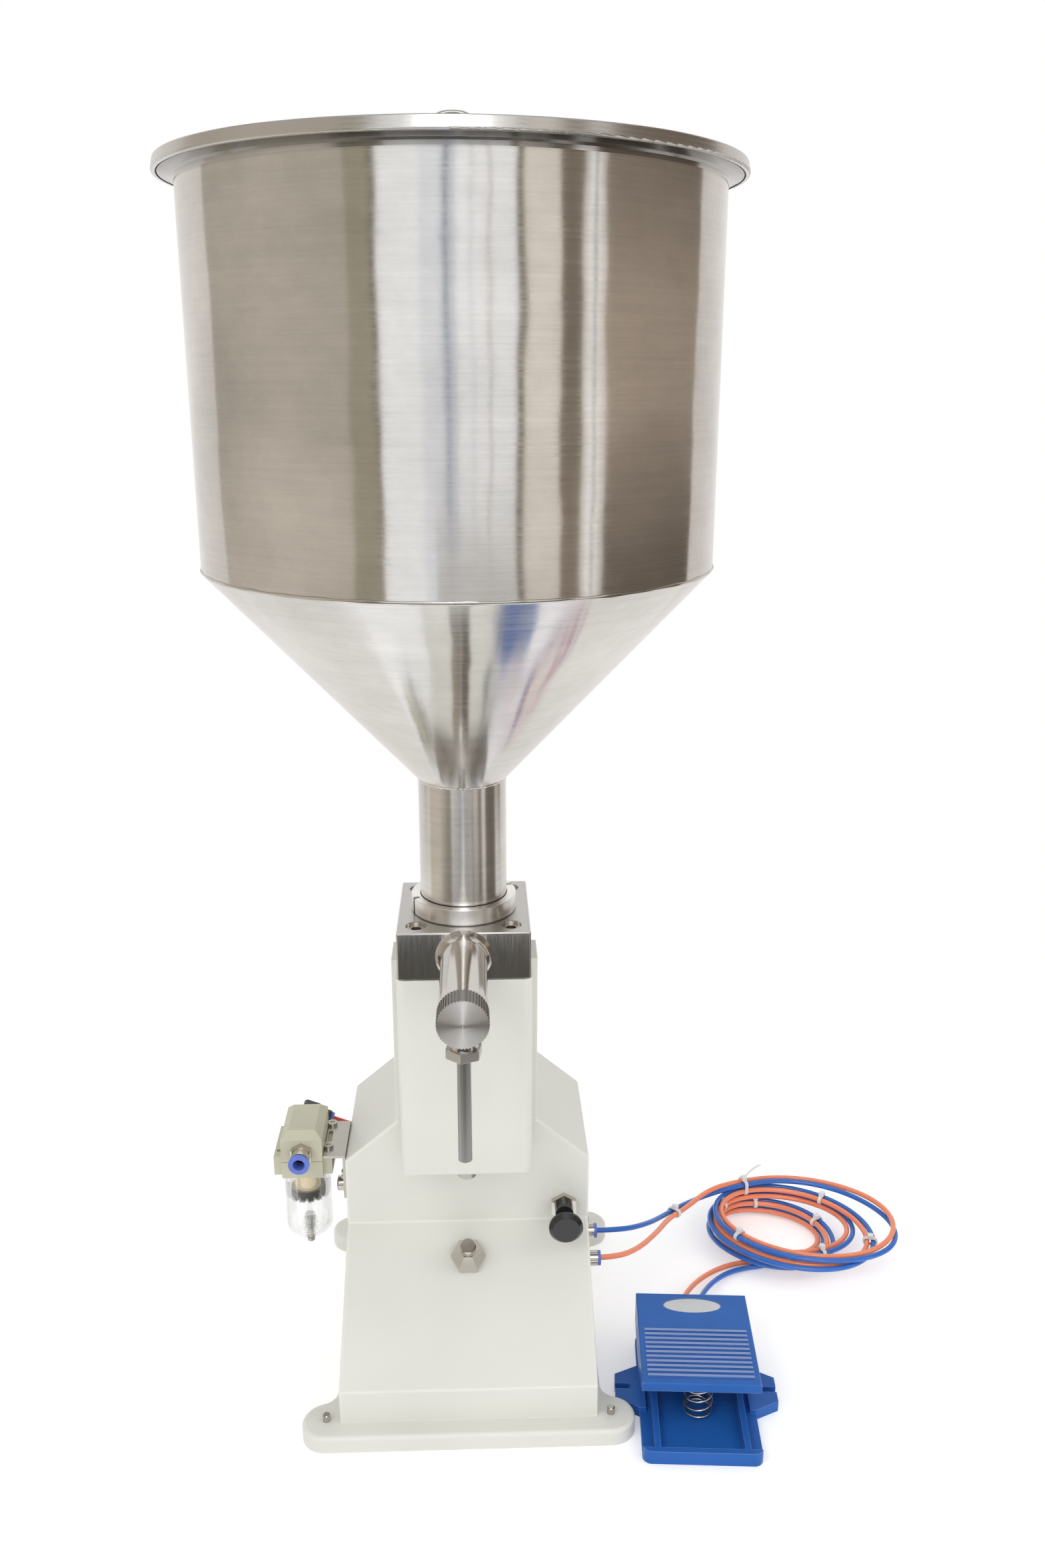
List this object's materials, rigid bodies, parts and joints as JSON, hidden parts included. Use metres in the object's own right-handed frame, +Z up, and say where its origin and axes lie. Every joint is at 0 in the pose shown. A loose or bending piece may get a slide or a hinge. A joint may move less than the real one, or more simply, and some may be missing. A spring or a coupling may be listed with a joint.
{
  "type": "pneumatic filling machine",
  "caption": "Bench-top pneumatic paste filling machine: stainless hopper over a piston filler with outlet nozzle, cream housing, air filter, and a foot valve on a coiled pair of air hoses.",
  "frame": {"origin": "centre of the base plate's underside, on the floor", "axes": "+X to the machine's right seen from the front, +Y to its back, +Z up along the hopper axis"},
  "size_m": [0.5062, 0.331, 0.8102],
  "materials": {
    "cream_paint": "smooth cream powder coat",
    "stainless": "fine brushed stainless steel",
    "polished_steel": "polished stainless steel",
    "nickel": "bright nickel plate",
    "zinc_steel": "zinc plated steel",
    "plain_aluminium": "satin anodised",
    "black_plastic": "matte black",
    "rubber": "matte",
    "khaki_plastic": "khaki beige, lightly textured",
    "clear_plastic": "clear moulded bowl",
    "filter_felt": "cream sintered element",
    "blue_plastic": "blue moulded plastic",
    "blue_hose": "clear blue tube",
    "orange_hose": "clear orange tube",
    "red_hose": "red tube",
    "white_nylon": "white nylon"
  },
  "bodies": {
    "machine": {"base_plate": "cream_paint", "rubber_feet": "rubber", "foot_bolts": "zinc_steel", "main_housing": "cream_paint", "small_screws": "zinc_steel", "tower_frame": "cream_paint", "front_cover": "cream_paint", "rear_cover": "cream_paint", "valve_block": "polished_steel", "outlet_tube": "polished_steel", "block_screws": "zinc_steel", "lock_ring": "polished_steel", "hopper": "stainless", "hopper_cone": "stainless", "hopper_neck": "stainless", "outlet_cap": "polished_steel", "outlet_spring": "zinc_steel", "nozzle_nut": "polished_steel", "nozzle_tube": "polished_steel", "inlet_spring": "zinc_steel", "filling_cylinder": "polished_steel", "air_cylinder": "plain_aluminium", "reversing_valve": "plain_aluminium", "pull_valve_body": "black_plastic", "pull_valve_nut": "nickel", "flow_valve_body": "nickel", "filter_bracket": "zinc_steel", "filter_head": "khaki_plastic", "filter_bowl": "clear_plastic", "filter_element": "filter_felt", "filter_baffle": "black_plastic", "air_fittings": "nickel", "elbow_fitting": "black_plastic", "supply_tube": "red_hose", "hose_collets": "blue_plastic", "pedal_base": "blue_plastic", "pedal_pin": "zinc_steel", "pedal_spring": "zinc_steel", "pedal_valve": "black_plastic", "blue_hose_runs": "blue_hose", "blue_hose_coil": "blue_hose", "orange_hose_runs": "orange_hose", "orange_hose_coil": "orange_hose", "cable_ties": "white_nylon"},
    "lid": {"hopper_lid": "stainless", "lid_knob": "polished_steel"},
    "piston": {"pistons": "polished_steel", "piston_seals": "rubber", "piston_rod": "polished_steel", "stroke_arm": "zinc_steel"},
    "stroke_adjuster": {"stroke_screw": "zinc_steel"},
    "stop": {"stop_nut": "zinc_steel"},
    "inlet_check": {"inlet_valve": "polished_steel"},
    "outlet_check": {"outlet_valve": "polished_steel"},
    "pull_knob": {"pull_valve_knob": "black_plastic"},
    "flow_adjuster": {"flow_valve_screw": "nickel"},
    "drain": {"drain_stem": "nickel"},
    "release_ring": {"inlet_collet": "blue_plastic"},
    "treadle": {"pedal_treadle": "blue_plastic"},
    "pedal_stem": {"pedal_valve_stem": "zinc_steel"}
  },
  "joints": [
    {"name": "lid_lift", "type": "slide", "parent": "machine", "child": "lid", "axis": [0, 0, 1], "range_m": [0, 0.2]},
    {"name": "piston_stroke", "type": "slide", "parent": "machine", "child": "piston", "axis": [0, 0, -1], "range_m": [0, 0.02]},
    {"name": "stroke_screw_turn", "type": "hinge", "parent": "machine", "child": "stroke_adjuster", "pos_m": [0, -0.036, 0.16], "axis": [0, 0, -1], "range_deg": [0, 1440]},
    {"name": "stop_nut_travel", "type": "slide", "parent": "machine", "child": "stop", "axis": [0, 0, -1], "range_m": [0, 0.005]},
    {"name": "inlet_valve_lift", "type": "slide", "parent": "machine", "child": "inlet_check", "axis": [0, 0, -1], "range_m": [0, 0.005], "stiffness_N_per_m": 300, "springref_m": -0.004, "deforming": ["inlet_spring"]},
    {"name": "outlet_valve_lift", "type": "slide", "parent": "machine", "child": "outlet_check", "axis": [0, -1, 0], "range_m": [0, 0.006], "stiffness_N_per_m": 300, "springref_m": -0.004, "deforming": ["outlet_spring"]},
    {"name": "pull_valve_travel", "type": "slide", "parent": "machine", "child": "pull_knob", "axis": [0, -1, 0], "range_m": [0, 0.008]},
    {"name": "flow_screw_turn", "type": "hinge", "parent": "machine", "child": "flow_adjuster", "pos_m": [0, -0.035, 0.08474], "axis": [0, -0.566, 0.8244], "range_deg": [0, 720]},
    {"name": "drain_push", "type": "slide", "parent": "machine", "child": "drain", "axis": [0, 0, 1], "range_m": [0, 0.002], "stiffness_N_per_m": 200, "springref_m": -0.002},
    {"name": "release_ring_push", "type": "slide", "parent": "machine", "child": "release_ring", "axis": [0, 1, 0], "range_m": [0, 0.0012], "stiffness_N_per_m": 500, "springref_m": -0.001},
    {"name": "treadle_press", "type": "hinge", "parent": "machine", "child": "treadle", "pos_m": [0.15764, -0.03611, 0.024], "axis": [0.9976, -0.0698, 0], "range_deg": [0, 10], "stiffness_Nm_per_rad": 9, "springref_deg": -4.58, "deforming": ["pedal_spring"]},
    {"name": "pedal_stem_push", "type": "slide", "parent": "machine", "child": "pedal_stem", "axis": [0, 0, -1], "range_m": [0, 0.00525]}
  ],
  "couplings": [
    {"joint": "stop_nut_travel", "follows": "stroke_screw_turn", "m_per_rad": 0.00019894},
    {"joint": "pedal_stem_push", "follows": "treadle_press", "m_per_rad": 0.03}
  ]
}
